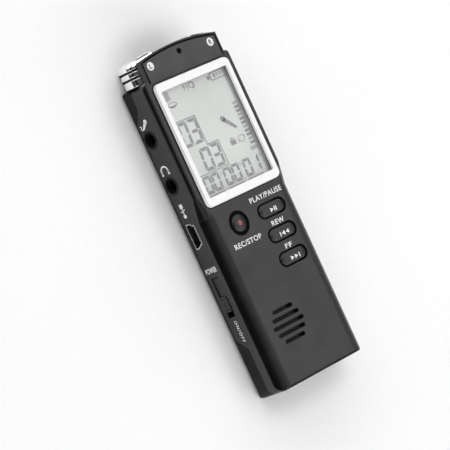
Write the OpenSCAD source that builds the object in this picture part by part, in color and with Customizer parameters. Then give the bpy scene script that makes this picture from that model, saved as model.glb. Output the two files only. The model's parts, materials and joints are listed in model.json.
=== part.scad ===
// Handheld voice recorder, lying on its back.
// X is the width, Y is the length towards the microphone head, Z is the thickness, front face up.
// All sizes are in millimetres; the origin is under the middle of the case.

/* [Case] */
// Width of the case over its flat sides
case_w = 35; // [34:0.5:37]
// Length from the bottom end to the top of the microphone barrels
case_l = 100; // [100:0.5:104]
// Height of the flat front face above the back
face_z = 10.8; // [10.8:0.1:11.4]
// Thickness of the case walls
wall = 1.4; // [1.2:0.1:1.5]
// Radius of the soft front edges beside the keys and the loudspeaker
edge_low = 5.6; // [5.2:0.1:6.2]
// How far those soft edges reach in over the front face
edge_reach = 4.6; // [4.2:0.1:4.8]
// Rounding of the front edges beside the display
edge_up = 1.4; // [1:0.1:1.8]
// Rounding of the back edges
edge_back = 2; // [1.2:0.1:2.2]
// Gap along the parting line of the two case halves
seam = 0.08; // [0.05:0.01:0.15]

/* [Head] */
// Half width of the narrower head
head_hw = 15.2; // [14.8:0.1:15.6]
// Radius of the arched head end
arch_r = 70; // [60:1:90]
// Outer radius of a microphone barrel
barrel_r = 4; // [3.8:0.1:4]
// Wall of a microphone barrel
barrel_wall = 0.85; // [0.7:0.05:1]

/* [Display] */
// Width of the display bezel
bezel_w = 29.5; // [28.5:0.5:30]
// Length of the display bezel
bezel_l = 36.75; // [36:0.25:37]
// Width of the visible display
view_w = 26; // [25:0.5:26.5]
// Length of the visible display
view_l = 31.8; // [31:0.2:32.4]
// How far the bezel stands above the front face
bezel_proud = 1; // [0.6:0.1:1.2]

/* [Keys] */
// Radius of the round record key
rec_r = 2.5; // [2.2:0.1:2.7]
// Half length of the straight part of a long key
key_half = 3.25; // [3:0.05:3.5]
// Radius of the ends of a long key
key_r = 1.8; // [1.6:0.05:1.9]
// Spacing of the long keys
key_pitch = 7.24; // [6.8:0.02:7.4]
// Clearance around each key cap
key_gap = 0.3; // [0.25:0.05:0.4]
// How far the key caps stand above the front face
key_proud = 0.3; // [0.2:0.05:0.4]

/* [Side] */
// Radius of the plug holes for 3.5 mm plugs
jack_r = 1.8; // [1.76:0.01:1.85]
// Depth of the plug holes
jack_depth = 14; // [13:0.5:14.5]
// Travel of the power slider
power_travel = 1.5; // [1:0.1:1.5]

/* [Loudspeaker] */
// Radius of the loudspeaker
speaker_r = 8; // [7:0.5:8]
// Width of a sound slot
slot_w = 1.2; // [1:0.1:1.4]
// Spacing of the sound slots
slot_pitch = 2.18; // [2:0.02:2.4]

/* [Hidden] */
$fn = 64;
e = 0.01;
hw = case_w / 2;
y_bot = -case_l / 2;
y_top = case_l / 2;
// End of the full width body, where the narrower head begins
y_head = y_top - 7.9;
bottom_r = 2.6;
shoulder_r = 2.4;
end_r = 1.3;
// The record zone's softer edges end here and the display zone's sharper ones begin
y_zone = 1.4;
zone_run = 3.3;
taper = 9;
// Levels inside the case
floor_z = wall - 0.2;
roof_z = face_z - wall;
board_lo = 6.8;
board_hi = 7.6;
head_roof = 9.2;
// Arched end of the head plate and of the barrels
arch_y = y_top - 0.5 - arch_r;
plate_t = 0.6;
plate_edge = 0.4;
plate_gap = 0.08;
hx = head_hw - plate_edge;
// Display
bez_y = 22.12;
bez_r = 1.8;
bez_top = face_z + bezel_proud;
bez_seat = 10.2;
win_lo = 10.25;
win_hi = 11;
glass_w = 27;
glass_l = 33;
ledge = 0.1;
bay_w = 29;
bay_l = 36.4;
// Keys
rec_x = -6.2;
rec_y = -3.23;
keys_x = 7;
keys_y = -3.37;
ring_rec = 3.6;
ring_key = 2.2;
dish = 0.45;
cap_top = face_z + key_proud;
flange_lo = 8.75;
flange_hi = 9.15;
flange_more = 0.7;
pin_r = 0.9;
pin_lo = 8.05;
pin_hi = 8.72;
sw_hole = 1.2;
// Side connectors
port_z = 4.45;
mic_y = 27.35;
phones_y = 13.6;
bush_r = 2.5;
bush_in = 15.9;
usb_y = -1.4;
usb_mouth = 17.3;
slot_y0 = -25.85;
slot_y1 = -14;
slot_z0 = 3.3;
slot_z1 = 6.1;
// Microphone barrels
bar_x = 13.4;
bar_z = 5.1;
bar_y0 = y_head + 0.1;
arm_x = 7.5;
arm_r = arch_r + 0.9;
bar_y1 = y_top - 0.8;
rim_r = 1.9;
arm_half = barrel_r - 0.1;
arm_slot = 0.7;
ring_slot = 0.65;
// Leads
lead_z = board_lo - 0.5;
lead_r = 0.45;
strip_y = bez_y + 0.05 - glass_l / 2 + 0.3;
strip_l = 1.5;
// Loudspeaker and battery
spk_x = -4.95;
spk_y = -33.9;
slot_len = [8, 10.7, 12.2, 10.7, 8];
bat = [0, -22, 1.6];
bat_size = [15.3, 50, 4.6];
// Screws
foot_x = 13;
foot_y = y_bot + 3.9;
top_x = 4.6;
top_y = y_head + 3;
screw_r = 1;
boss_r = 1.75;
led_y = y_top - 3.3;

module at_screws() {
    for (s = [-1, 1]) {
        translate([s * foot_x, foot_y, 0]) children();
        translate([s * top_x, top_y, 0]) children();
    }
}

// A prism along Y from y0 to y1 of the case's cross section. Its front edges have the radius rf
// and leave the front face at reach from the side, where they may meet the side in a ridge.
module case_prism(y0, y1, rf, reach, rb) {
    ridge = face_z - rf + sqrt(rf * rf - reach * reach);
    translate([0, y1, 0]) rotate([90, 0, 0]) linear_extrude(y1 - y0) {
        translate([-hw, rb]) square([case_w, ridge - rb]);
        translate([rb - hw, 0]) square([case_w - 2 * rb, face_z / 2]);
        translate([reach - hw, face_z / 2]) square([case_w - 2 * reach, face_z / 2]);
        for (s = [-1, 1]) translate([s * (hw - rb), rb]) circle(rb);
        for (s = [0, 1]) mirror([s, 0, 0]) intersection() {
            translate([hw - reach, face_z - rf]) circle(rf);
            translate([hw - reach - 0.5, face_z / 2]) square([reach + 0.5, face_z]);
        }
    }
}

// Planes around the lower edges that run them into the sharper upper ones
module zone_taper() {
    for (s = [0, 1], turn = [15, 30, 45]) mirror([s, 0, 0])
        translate([hw - edge_reach, y_zone, face_z - edge_low]) rotate([0, turn, 0])
            translate([0, 0, edge_low]) rotate([taper, 0, 0])
                translate([-6, -1, 0]) cube([12, 11, 4]);
}

// The room inside both case halves, up to the height z1, its upper corners cut off
module case_room(z1) {
    room_w = hw - wall - 0.1;
    translate([0, y_head - wall, 0]) rotate([90, 0, 0])
        linear_extrude(y_head - y_bot - 2 * wall) polygon([[-room_w, -1], [room_w, -1],
            [room_w, z1 - 1.2], [room_w - 1.2, z1], [1.2 - room_w, z1], [-room_w, z1 - 1.2]]);
}

// The head's outline seen from the front, d inside the edge
module head_outline(d) {
    intersection() {
        translate([d - head_hw, y_head - 6]) square([2 * (head_hw - d), 20]);
        translate([0, arch_y]) circle(arch_r - d, $fn = 160);
    }
}

// The whole case's outline seen from the front
module case_outline() {
    translate([-hw, y_bot + bottom_r]) square([case_w, y_head - y_bot - bottom_r - shoulder_r]);
    translate([bottom_r - hw, y_bot]) square([case_w - 2 * bottom_r, 10]);
    translate([shoulder_r - hw, y_head - 10]) square([case_w - 2 * shoulder_r, 10]);
    for (s = [-1, 1]) {
        translate([s * (hw - bottom_r), y_bot + bottom_r]) circle(bottom_r);
        translate([s * (hw - shoulder_r), y_head - shoulder_r]) circle(shoulder_r);
    }
    head_outline(0);
}

// The case seen from the side, with a rounded bottom end
module end_profile() {
    translate([-60, 0, 0]) rotate([90, 0, 90]) linear_extrude(120) {
        translate([y_bot + end_r, 0]) square([case_l, face_z]);
        translate([y_bot, end_r]) square([case_l, face_z - 2 * end_r]);
        for (z = [end_r, face_z - end_r]) translate([y_bot + end_r, z]) circle(end_r);
    }
}

// The closed outer form of both case halves together
module case_form() {
    intersection() {
        union() {
            case_prism(y_bot, y_head, edge_low, edge_reach, edge_back);
            difference() {
                case_prism(y_zone, y_head, edge_up, edge_up, edge_back);
                zone_taper();
            }
            linear_extrude(face_z) head_outline(0);
        }
        linear_extrude(face_z + 1) case_outline();
        end_profile();
    }
}

// Everything above the parting line; d lifts the line
module above_seam(d) {
    translate([-60, 0, 0]) rotate([90, 0, 90]) linear_extrude(120)
        polygon([[y_bot - 1, 5.3 + d], [-35.5, 5.3 + d], [-32.3, 1.9 + d], [32.4, 1.9 + d],
            [36.6, 4.75 + d], [y_head - 1.1, 4.75 + d], [y_head, 3.7 + d], [y_top + 9, 3.7 + d],
            [y_top + 9, 40], [y_bot - 1, 40]]);
}

module rounded_slab(w, l, r, z0, z1) {
    translate([0, 0, z0]) linear_extrude(z1 - z0) {
        square([w - 2 * r, l], center = true);
        square([w, l - 2 * r], center = true);
        for (x = [-1, 1], y = [-1, 1])
            translate([x * (w / 2 - r), y * (l / 2 - r)]) circle(r);
    }
}

module long_pill(half, r, z0, z1) {
    translate([-half, -r, z0]) cube([2 * half, 2 * r, z1 - z0]);
    for (s = [-1, 1]) translate([s * half, 0, z0]) cylinder(r = r, h = z1 - z0);
}

module at_long_key(i) {
    translate([keys_x, keys_y - i * key_pitch, 0]) children();
}

// A hole through the left side wall at height z, its axis along X
module side_hole(y, z, r) {
    translate([-hw - 1, y, z]) rotate([0, 90, 0]) cylinder(r = r, h = 3.5);
}

// The USB socket's outline, wide side towards the back, d outside the shell
module usb_outline(d) {
    polygon([[-3.8 - d, 2.45 - d], [3.8 + d, 2.45 - d], [3.8 + d, 3.95], [2.95 + d, 5.3],
        [2.95 + d, 6 + d], [-2.95 - d, 6 + d], [-2.95 - d, 5.3], [-3.8 - d, 3.95]]);
}

// A prism along X of the USB outline between two distances from the middle
module usb_prism(x0, x1, d) {
    translate([-x1, usb_y, 0]) rotate([90, 0, 90]) linear_extrude(x1 - x0) usb_outline(d);
}

// Cylinders along Y at both microphone leads, starting len before the head's shoulder
module at_mic_leads(r, len) {
    for (s = [-1, 1]) translate([s * bar_x, y_head - len, lead_z]) rotate([-90, 0, 0])
        cylinder(r = r, h = len + 1.55);
}

// Space that both microphone barrels and their arms take out of the head
module barrel_room() {
    for (s = [-1, 1]) {
        translate([s * 13.1 - 5.8, y_head, 1]) cube([11.6, 12, head_roof - 1]);
    }
}

module front_housing() {
    color([0.2, 0.2, 0.21]) difference() {
        intersection() {
            case_form();
            above_seam(seam);
        }
        difference() {
            case_room(roof_z);
            for (s = [-1, 1]) translate([s * foot_x, foot_y, 2.6]) cylinder(r = boss_r, h = 9);
        }
        translate([-6.1, y_head - wall - 1, -1]) difference() {
            cube([12.2, 7.6, roof_z + 1]);
            for (s = [-1, 1]) translate([6.1 + s * top_x, top_y - y_head + wall + 1, 3.7])
                cylinder(r = boss_r, h = 9);
        }
        barrel_room();
        at_screws() translate([0, 0, -1]) cylinder(r = screw_r + 0.05, h = 9);
        // display seat and bay
        translate([0, bez_y, 0]) rounded_slab(bezel_w + 0.12, bezel_l + 0.12, bez_r, bez_seat, 20);
        translate([0, bez_y + 0.05, 0])
            rounded_slab(glass_w + 0.3, glass_l + 0.3, 0.5, roof_z - 1, 20);
        // head plate recess
        translate([0, 0, face_z - plate_t]) linear_extrude(2) difference() {
            head_outline(plate_edge);
            translate([-50, -50]) square([100, 50 + bez_y + bezel_l / 2 + 0.35]);
        }
        translate([0, led_y, 0]) cylinder(r = 0.8, h = 20);
        // keys
        translate([rec_x, rec_y, 0]) {
            translate([0, 0, roof_z - 1]) cylinder(r = rec_r + key_gap, h = 5);
            translate([0, 0, face_z - dish]) cylinder(r = ring_rec, h = 5);
        }
        for (i = [0:2]) at_long_key(i) {
            long_pill(key_half, key_r + key_gap, roof_z - 1, 20);
            long_pill(key_half + 0.1, ring_key + 0.06, face_z - dish, 20);
        }
        // loudspeaker slots
        for (i = [0:4]) translate([spk_x, spk_y + (2 - i) * slot_pitch, 0])
            long_pill((slot_len[i] - slot_w) / 2, slot_w / 2, roof_z - 1, 20);
        // side openings
        side_hole(mic_y, port_z, bush_r + 0.06);
        side_hole(phones_y, port_z, bush_r + 0.06);
        usb_prism(bush_in - 1, hw + 1, 0.12);
        translate([-hw - 1, slot_y0, slot_z0]) cube([3, slot_y1 - slot_y0, slot_z1 - slot_z0]);
        at_mic_leads(lead_r + 0.15, 3);
    }
}

module rear_housing() {
    color([0.14, 0.14, 0.15]) difference() {
        intersection() {
            case_form();
            difference() {
                translate([-60, -60, -5]) cube([120, 160, 40]);
                above_seam(0);
            }
        }
        difference() {
            translate([wall - hw, y_bot + wall, floor_z])
                cube([case_w - 2 * wall, y_head - y_bot - 2 * wall, 20]);
            for (s = [-1, 1]) translate([s * foot_x, foot_y, 0]) cylinder(r = boss_r, h = 2.5);
        }
        difference() {
            translate([-6.1, y_head - wall - 1, floor_z]) cube([12.2, 7.6, 20]);
            for (s = [-1, 1]) translate([s * top_x, top_y, 0]) cylinder(r = boss_r, h = 3.6);
        }
        barrel_room();
        translate([0, 0, -1]) linear_extrude(30) difference() {
            translate([-50, y_head]) square([100, 30]);
            head_outline(0.7);
        }
        at_screws() {
            translate([0, 0, -1]) cylinder(r = screw_r + 0.15, h = 9);
            translate([0, 0, -1]) cylinder(r = 1.75, h = 1.9);
        }
    }
}

module head_plate() {
    color([0.35, 0.35, 0.36]) difference() {
        translate([0, 0, face_z - plate_t + 0.02]) linear_extrude(plate_t) difference() {
            head_outline(plate_edge + plate_gap);
            translate([-50, -50]) square([100, 50 + bez_y + bezel_l / 2 + 0.35 + plate_gap]);
        }
        translate([0, led_y, 0]) cylinder(r = 0.8, h = 20);
    }
}

module display_bezel() {
    color([0.93, 0.93, 0.92]) translate([0, bez_y, 0]) difference() {
        union() {
            rounded_slab(bezel_w, bezel_l, bez_r, bez_seat, face_z + 0.35);
            rounded_slab(bezel_w - 0.4, bezel_l - 0.4, bez_r - 0.2, face_z, bez_top);
        }
        translate([0, 0.05, 0]) {
            rounded_slab(view_w, view_l, 0.4, 5, 20);
            rounded_slab(view_w + 1.8, view_l + 1.8, 0.6, 5, win_hi);
        }
    }
}

module display_window() {
    color([0.8, 0.85, 0.86, 0.35]) translate([0, bez_y + 0.05, 0])
        rounded_slab(view_w + 1.7, view_l + 1.7, 0.6, win_lo, win_hi - 0.02);
}

module lcd_glass() {
    color([0.78, 0.8, 0.78]) translate([-glass_w / 2, bez_y + 0.05 - glass_l / 2, 9.05])
        cube([glass_w, glass_l, 1.1]);
}

module lcd_backlight() {
    color([0.95, 0.95, 0.93]) translate([0, bez_y + 0.05 + (strip_l + 0.2) / 2, 0])
        rounded_slab(glass_w - 0.4, glass_l - 0.6 - strip_l, 0.5, 7.8, 8.98);
}

// Rubber strip that joins the display glass's contacts to the board
module display_connector() {
    color([0.45, 0.45, 0.47]) translate([-12.5, strip_y, board_hi + 0.02])
        cube([25, strip_l, 9.03 - board_hi - 0.02]);
}

module lcd_frame() {
    color([0.9, 0.9, 0.88]) difference() {
        translate([0, bez_y + 0.05, 0]) difference() {
            rounded_slab(glass_w + 2, glass_l + 2, 0.8, board_hi + 0.03, roof_z - 0.08);
            rounded_slab(glass_w + 0.2, glass_l + 0.2, 0.4, 7.75, 20);
            rounded_slab(glass_w - 4, glass_l - 4, 1, 5, 20);
        }
        translate([-12.6, strip_y - 0.08, 5]) cube([25.2, strip_l + 0.16, 20]);
    }
}

module main_board() {
    color([0.05, 0.32, 0.16]) difference() {
        union() {
            translate([-15.6, -23.8, board_lo]) cube([31.2, 64, board_hi - board_lo]);
            translate([-2.2, 40, board_lo]) cube([4.4, 7.2, board_hi - board_lo]);
        }
        for (x = [-14.3, 14.3], y = [1.5, -21.5]) translate([x, y, 0]) cylinder(r = 0.8, h = 20);
    }
}

module processor_chip() {
    color([0.1, 0.1, 0.1]) {
        translate([-11, -18.2, board_lo - 1.05]) cube([9, 9, 1]);
    }
}

module memory_chip() {
    color([0.12, 0.12, 0.12]) translate([-10.5, 4, board_lo - 1.05]) cube([8, 5.5, 1]);
}

// Small resistors and capacitors between the two chips
module board_parts() {
    color([0.55, 0.5, 0.42]) for (i = [0:3], j = [0:3])
        translate([-7.2 + 1.6 * i, -7.4 + 2.6 * j, board_lo - 0.57]) cube([1, 0.5, 0.55]);
}

module crystal() {
    color([0.75, 0.75, 0.76]) translate([-5, -21.5, 0])
        long_pill(2, 1.2, board_lo - 1.3, board_lo - 0.05);
}

module rec_button() {
    color([0.3, 0.31, 0.3]) translate([rec_x, rec_y, 0]) {
        translate([0, 0, flange_hi - e]) cylinder(r = rec_r, h = cap_top - 0.3 - flange_hi + e);
        translate([0, 0, cap_top - 0.3]) cylinder(r1 = rec_r, r2 = rec_r - 0.35, h = 0.3);
        translate([0, 0, flange_lo]) cylinder(r = rec_r + flange_more, h = flange_hi - flange_lo);
    }
}

module long_button(i) {
    color([0.27, 0.27, 0.28]) at_long_key(i) {
        long_pill(key_half, key_r, flange_hi - e, cap_top);
        long_pill(key_half, key_r + flange_more, flange_lo, flange_hi);
    }
}

module play_button() { long_button(0); }
module rewind_button() { long_button(1); }
module forward_button() { long_button(2); }

module key_switch() {
    difference() {
        translate([-2.6, -2.6, board_hi + 0.02]) cube([5.2, 5.2, 0.75]);
        translate([0, 0, board_hi + 0.2]) cylinder(r = sw_hole, h = 5);
    }
}

module key_switches() {
    color([0.6, 0.6, 0.62]) {
        translate([rec_x, rec_y, 0]) key_switch();
        for (i = [0:2]) at_long_key(i) key_switch();
    }
}

module plunger() {
    color([0.85, 0.83, 0.78]) translate([0, 0, pin_lo + 0.15]) cylinder(r = pin_r, h = pin_hi - pin_lo - 0.15);
}

module rec_plunger() { translate([rec_x, rec_y, 0]) plunger(); }
module play_plunger() { at_long_key(0) plunger(); }
module rewind_plunger() { at_long_key(1) plunger(); }
module forward_plunger() { at_long_key(2) plunger(); }

// The tongue fills the upper part of the slot and the raised grip the lower part
module power_slider() {
    color([0.2, 0.2, 0.21]) {
        translate([-17.15, slot_y1 - 10.2, slot_z0 + 0.15])
            cube([1.35, 9.95, slot_z1 - slot_z0 - 0.3]);
        difference() {
            translate([-17.8, slot_y1 - 10.2, slot_z0 + 0.15])
                cube([1.2, 4.45, slot_z1 - slot_z0 - 0.3]);
            for (i = [-1, 1]) translate([-17.8, slot_y1 - 7.97 + i * 1.6, 0])
                cylinder(r = 0.2, h = 10);
        }
        translate([-15.85, slot_y1 - 10.4, slot_z0 - 0.45])
            cube([0.5, 10.6, slot_z1 - slot_z0 + 0.9]);
    }
}

module power_lever() {
    color([0.85, 0.85, 0.83]) translate([-15.32, -20.3, 4.2]) cube([1.9, 1.8, 1]);
}

module power_switch() {
    color([0.7, 0.7, 0.72]) difference() {
        translate([-15, -24, 3]) cube([3, 8, board_lo - 3.05]);
        translate([-14.7, -23.6, 3.3]) cube([2.4, 7.2, 2.9]);
        translate([-16, -22.2, 3.9]) cube([3, 4.2, 1.6]);
    }
}

module plug_jack(y) {
    color([0.08, 0.08, 0.08]) difference() {
        union() {
            translate([-hw + 0.05, y, port_z]) rotate([0, 90, 0]) cylinder(r = bush_r, h = 1.75);
            translate([-bush_in, y - 3.2, 2.1]) cube([13.6, 6.4, board_lo - 2.15]);
        }
        translate([-hw - 1, y, port_z]) rotate([0, 90, 0]) cylinder(r = jack_r, h = jack_depth + 1.05);
    }
}

module mic_jack() { plug_jack(mic_y); }
module headphone_jack() { plug_jack(phones_y); }

module usb_socket() {
    color([0.75, 0.75, 0.76]) difference() {
        union() {
            usb_prism(8.6, usb_mouth, 0);
            for (s = [-1, 1]) translate([-15, usb_y + s * 2.6 - 0.3, 5.8])
                cube([5, 0.6, board_lo - 5.85]);
        }
        usb_prism(9, usb_mouth + 1, -0.35);
    }
}

module usb_tongue() {
    color([0.08, 0.08, 0.08]) {
        translate([-10.6, usb_y - 2.5, 2.9]) cube([1.55, 5, 2.7]);
        translate([-16.2, usb_y - 2.2, 3.75]) cube([6, 4.4, 0.8]);
    }
}

module speaker_frame() {
    color([0.2, 0.2, 0.2]) translate([spk_x, spk_y, 0]) rotate_extrude()
        polygon([[4.7, 6.3], [speaker_r - 0.6, 6.3], [speaker_r - 0.6, 8.1], [speaker_r, 8.1],
            [speaker_r, 8.8], [speaker_r - 1.2, 8.8], [speaker_r - 1.2, 6.9], [4.7, 6.9]]);
}

module speaker_cone() {
    color([0.12, 0.12, 0.12]) translate([spk_x, spk_y, 0]) rotate_extrude()
        polygon([[0, 8.1], [2, 8.1], [2.3, 7.2], [speaker_r - 1.3, 8.3], [speaker_r - 1.3, 8.5],
            [2.4, 7.5], [2.1, 8.4], [0, 8.4]]);
}

module speaker_magnet() {
    color([0.6, 0.6, 0.62]) translate([spk_x, spk_y, 4.9]) {
        cylinder(r = 4.6, h = 1.9);
    }
}

module speaker_leads() {
    // each lead starts just outside the round basket and ends under the board
    color([0.75, 0.1, 0.1]) for (x = [-10.4, -9.2]) let (dx = x + 0.32 - spk_x,
        y0 = spk_y + 0.1 + sqrt(pow(speaker_r - 0.6, 2) - dx * dx))
        translate([x, y0, board_lo - 0.4]) rotate([-90, 0, 0]) cylinder(r = 0.32, h = -21.8 - y0);
}

module speaker_gasket() {
    color([0.1, 0.1, 0.1]) translate([spk_x, spk_y, 8.82]) difference() {
        cylinder(r = speaker_r, h = 0.35);
        translate([0, 0, -1]) cylinder(r = speaker_r - 1.2, h = 3);
    }
}

module speaker_cloth() {
    color([0.05, 0.05, 0.05]) translate([spk_x, spk_y, 9.19]) cylinder(r = speaker_r - 0.1, h = 0.19);
}

module battery_cell() {
    color([0.72, 0.74, 0.76]) translate([bat.x + bat_size.x / 2, bat.y + bat_size.y / 2, 0])
        rounded_slab(bat_size.x, bat_size.y, 1.5, bat.z, bat.z + bat_size.z);
}

module battery_board() {
    color([0.1, 0.35, 0.15]) translate([bat.x + 1.5, bat.y + bat_size.y + 0.1, 3]) cube([12, 3, 0.8]);
}

module battery_pad() {
    color([0.9, 0.9, 0.88]) translate([bat.x + 1, bat.y + 2, floor_z + 0.02])
        cube([bat_size.x - 2, bat_size.y - 4, bat.z - floor_z - 0.04]);
}

module battery_leads() {
    color([0.7, 0.1, 0.1]) for (i = [0, 1]) translate([bat.x + 5 + 3 * i, 0, 4.15]) {
        translate([0, bat.y + bat_size.y + 2, 0]) rotate([-90, 0, 0]) cylinder(r = 0.35, h = 4);
    }
}

module battery_connector() {
    color([0.92, 0.9, 0.85]) translate([bat.x + 3.5, bat.y + bat_size.y + 6.1, 3.6])
        cube([6, 3.4, board_lo - 3.65]);
}

// Cross section of the arm, d inside its surface, with its outer corners rounded
module arm_section(d) {
    translate([arch_r - 4, bar_z - arm_half + d]) square([4.9 - rim_r, 2 * (arm_half - d)]);
    translate([arch_r - 4, bar_z - arm_half + rim_r]) square([4.9 - d, 2 * (arm_half - rim_r)]);
    for (s = [-1, 1])
        translate([arm_r - rim_r, bar_z + s * (arm_half - rim_r)]) circle(rim_r - d);
}

// The arm follows the arched end from x0 to x1, above y0
module arm(d, x0, x1, y0) {
    intersection() {
        translate([0, arch_y, 0]) rotate_extrude($fn = 160) arm_section(d);
        translate([x0, y0, 0]) cube([x1 - x0, 6, 12]);
    }
}

// One barrel and its arm at the right; the rings are cut open on the outer side
module mic_barrel() {
    color([0.85, 0.85, 0.86]) difference() {
        union() {
            translate([bar_x, bar_y0, bar_z]) rotate([-90, 0, 0]) rotate_extrude() {
                square([barrel_r, bar_y1 - bar_y0 - rim_r]);
                square([barrel_r - rim_r, bar_y1 - bar_y0]);
                translate([barrel_r - rim_r, bar_y1 - bar_y0 - rim_r]) circle(rim_r);
            }
            arm(0, arm_x, bar_x - 0.3, y_top - 3.1);
        }
        translate([bar_x, bar_y0 - 1, bar_z]) rotate([-90, 0, 0]) {
            cylinder(r = barrel_r - barrel_wall, h = bar_y1 - bar_y0 - rim_r + 1.1);
            cylinder(r = 2.4, h = bar_y1 - bar_y0 - barrel_wall + 1);
        }
        arm(barrel_wall, arm_x - 1, bar_x - 0.6, y_top - 4);
        for (i = [1, 2])
            translate([bar_x - 0.9, bar_y0 + 2 * i, -5]) cube([20, ring_slot, 30]);
        for (a = [-52, 0, 52]) translate([arm_x + 1, y_top - 3, bar_z]) rotate([a, 0, 0])
            translate([0, 0, -arm_slot / 2]) cube([5.3, 10, arm_slot]);
    }
}

module left_mic_barrel() { mirror([1, 0, 0]) mic_barrel(); }
module right_mic_barrel() { mic_barrel(); }

module mic_capsule() {
    color([0.7, 0.7, 0.7]) translate([bar_x, y_head + 1.6, bar_z]) rotate([-90, 0, 0])
        cylinder(r = 2.2, h = 3.9);
}

module left_mic_capsule() { mirror([1, 0, 0]) mic_capsule(); }
module right_mic_capsule() { mic_capsule(); }

module mic_boot() {
    color([0.05, 0.05, 0.05]) translate([bar_x, y_head + 0.15, bar_z]) rotate([-90, 0, 0])
        difference() {
            cylinder(r = barrel_r - barrel_wall - 0.08, h = 4.9);
            translate([0, 0, 1.4]) cylinder(r = 2.25, h = 9);
            translate([0, bar_z - lead_z, -1]) cylinder(r = lead_r + 0.15, h = 9);
        }
}

module left_mic_boot() { mirror([1, 0, 0]) mic_boot(); }
module right_mic_boot() { mic_boot(); }

module mic_leads() {
    color([0.3, 0.3, 0.32]) at_mic_leads(lead_r, 4);
}

module indicator_led() {
    color([0.9, 0.9, 0.8]) translate([-0.8, led_y - 0.4, board_hi + 0.02]) cube([1.6, 0.8, 0.5]);
}

module light_pipe() {
    color([0.1, 0.1, 0.11]) translate([0, led_y, board_hi + 0.6]) cylinder(r = 0.72, h = 2.2);
}

module case_screws() {
    color([0.5, 0.5, 0.52]) at_screws() difference() {
        union() {
            translate([0, 0, 0.15]) cylinder(r = 1.65, h = 0.7);
            translate([0, 0, 0.8]) cylinder(r = screw_r, h = 6.2);
        }
        for (a = [0, 90]) rotate([0, 0, a]) translate([-1, -0.15, -1]) cube([2, 0.3, 1.55]);
    }
}

front_housing();
rear_housing();
head_plate();
display_bezel();
display_window();
lcd_glass();
lcd_backlight();
lcd_frame();
main_board();
processor_chip();
memory_chip();
crystal();
rec_button();
play_button();
rewind_button();
forward_button();
key_switches();
rec_plunger();
play_plunger();
rewind_plunger();
forward_plunger();
power_slider();
power_switch();
power_lever();
mic_jack();
headphone_jack();
usb_socket();
usb_tongue();
speaker_frame();
speaker_cone();
speaker_magnet();
speaker_gasket();
speaker_cloth();
battery_cell();
battery_board();
battery_pad();
battery_leads();
battery_connector();
left_mic_barrel();
right_mic_barrel();
left_mic_capsule();
right_mic_capsule();
left_mic_boot();
right_mic_boot();
indicator_led();
light_pipe();
case_screws();
display_connector();
board_parts();
speaker_leads();
mic_leads();
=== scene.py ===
"""Looks of the handheld voice recorder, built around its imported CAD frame.

The recorder lies on its back: X is its width, Y its length towards the microphone head, Z its thickness.
Sizes below are in millimetres and turned into metres by mm(); each piece's mesh holds its own place.
"""
import json
import math

import bmesh
import bpy
from mathutils import Matrix, Vector


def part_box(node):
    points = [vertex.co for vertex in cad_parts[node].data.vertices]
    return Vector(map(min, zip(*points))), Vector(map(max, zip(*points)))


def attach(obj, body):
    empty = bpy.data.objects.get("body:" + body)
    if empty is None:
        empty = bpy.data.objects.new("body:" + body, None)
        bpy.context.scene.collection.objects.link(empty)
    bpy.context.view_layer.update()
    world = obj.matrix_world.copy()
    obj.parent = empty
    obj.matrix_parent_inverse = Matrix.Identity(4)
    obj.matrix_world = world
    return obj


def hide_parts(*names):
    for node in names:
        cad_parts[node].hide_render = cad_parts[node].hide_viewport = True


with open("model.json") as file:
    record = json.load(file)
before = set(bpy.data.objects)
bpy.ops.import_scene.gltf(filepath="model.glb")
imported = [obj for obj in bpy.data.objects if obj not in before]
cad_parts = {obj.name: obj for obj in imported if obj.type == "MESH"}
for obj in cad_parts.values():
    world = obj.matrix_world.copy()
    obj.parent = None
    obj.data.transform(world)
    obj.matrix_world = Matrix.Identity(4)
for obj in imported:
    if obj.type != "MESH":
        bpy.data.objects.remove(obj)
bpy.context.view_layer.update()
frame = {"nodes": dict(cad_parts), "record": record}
MM = 0.001


def mm(*values):
    return Vector([v * MM for v in values])


def low(node):
    """A CAD node's lowest corner, in millimetres."""
    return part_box(node)[0] / MM


def high(node):
    """A CAD node's highest corner, in millimetres."""
    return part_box(node)[1] / MM


def middle(node):
    return (low(node) + high(node)) / 2


# ---------------------------------------------------------------- places that the CAD gives
FACE_Z = high("front_housing").z
SIDE_X = -17.5
LCD_Z = high("lcd_glass").z
PLATE_Z = high("head_plate").z
REC = middle("rec_button")
KEYS = {name: middle(name + "_button") for name in ("play", "rewind", "forward")}
CAP_TOP = high("play_button").z
# Nothing is sunk in the face further from the middle than this
RECESSED_HALF_WIDTH = 14.6
JACK_Z = 4.45

# ---------------------------------------------------------------- camera
AIM = mm(-6.2, -2.2, 5.0)
TO_CAMERA = Vector((-0.65957, 0.02005, 0.75138)).normalized()
CAMERA_FAR = 0.7537
# The long axis leans to the left of the picture's vertical
LEAN = math.radians(24.62)


def make_camera():
    data = bpy.data.cameras.new("camera")
    data.sensor_width = 36.0
    data.lens = 218.7
    data.clip_start = 0.01
    data.clip_end = 20.0
    camera = bpy.data.objects.new("camera", data)
    bpy.context.scene.collection.objects.link(camera)
    ahead = -TO_CAMERA
    upright = (Vector((0, 1, 0)) - ahead * ahead.y).normalized()
    up = Matrix.Rotation(LEAN, 3, ahead) @ upright
    right = ahead.cross(up).normalized()
    turn = Matrix((right, up, -ahead)).transposed().to_4x4()
    camera.matrix_world = Matrix.Translation(AIM + TO_CAMERA * CAMERA_FAR) @ turn
    bpy.context.scene.camera = camera


make_camera()

# ---------------------------------------------------------------- material graphs


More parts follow.
